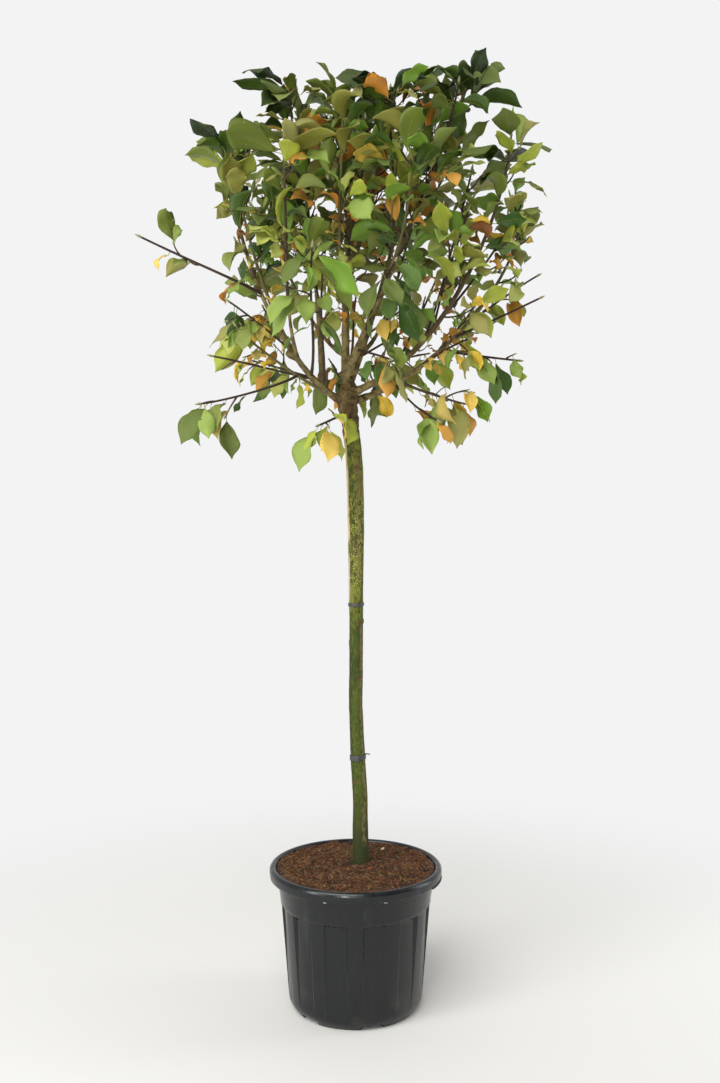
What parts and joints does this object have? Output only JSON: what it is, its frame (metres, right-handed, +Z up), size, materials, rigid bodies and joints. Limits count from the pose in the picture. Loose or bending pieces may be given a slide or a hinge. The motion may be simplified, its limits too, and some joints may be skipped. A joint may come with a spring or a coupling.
{
  "type": "magnolia tree",
  "caption": "Young magnolia grown as a standard: one clear stem, upswept boughs and an open leafy crown, in a black ribbed nursery pot.",
  "frame": {"origin": "centre of the pot's flat underside, on the ground", "axes": "+Z up along the stem, +X to the right seen from the front, +Y to the back"},
  "size_m": [1.1197, 0.8861, 2.6336],
  "materials": {
    "pot": "satin",
    "soil": "moist coir and peat",
    "bark": "smooth, green with algae, knobbly at the head",
    "bough": "smooth bark",
    "tie": "matt",
    "foliage": "leathery leaves on thin twigs"
  },
  "bodies": {
    "root": {"pot": "pot", "root_ball": "soil", "trunk": "bark", "lower_tie": "tie", "upper_tie": "tie", "leader_bough": "bough", "leader_fork_bough": "bough", "front_leader_bough": "bough", "right_bough": "bough", "right_rear_bough": "bough", "left_bough": "bough", "left_rear_bough": "bough", "left_leader_bough": "bough", "rear_right_leader_bough": "bough", "rear_leader_bough": "bough", "rear_left_bough": "bough", "rear_right_bough": "bough", "front_right_wand_bough": "bough", "front_left_wand_bough": "bough", "front_wand_bough": "bough", "inner_right_wand_bough": "bough", "front_right_spray_bough": "bough", "front_left_spray_bough": "bough", "low_left_wand_bough": "bough", "low_left_spray_bough": "bough", "long_left_shoot_bough": "bough", "low_right_spray_bough": "bough", "right_side_spray_bough": "bough", "right_bare_twig_bough": "bough", "right_bud_shoot_bough": "bough", "rear_low_wand_bough": "bough", "rear_left_spray_bough": "bough", "leader_foliage": "foliage", "leader_fork_foliage": "foliage", "front_leader_foliage": "foliage", "right_bough_foliage": "foliage", "right_rear_bough_foliage": "foliage", "left_bough_foliage": "foliage", "left_rear_bough_foliage": "foliage", "left_leader_foliage": "foliage", "rear_right_leader_foliage": "foliage", "rear_leader_foliage": "foliage", "rear_left_bough_foliage": "foliage", "rear_right_bough_foliage": "foliage", "front_right_wand_foliage": "foliage", "front_left_wand_foliage": "foliage", "front_wand_foliage": "foliage", "inner_right_wand_foliage": "foliage", "front_right_spray_foliage": "foliage", "front_left_spray_foliage": "foliage", "low_left_wand_foliage": "foliage", "low_left_spray_foliage": "foliage", "long_left_shoot_foliage": "foliage", "low_right_spray_foliage": "foliage", "right_side_spray_foliage": "foliage", "right_bare_twig_foliage": "foliage", "right_bud_shoot_foliage": "foliage", "rear_low_wand_foliage": "foliage", "rear_left_spray_foliage": "foliage", "trunk_spur_foliage": "foliage"}
  },
  "joints": []
}
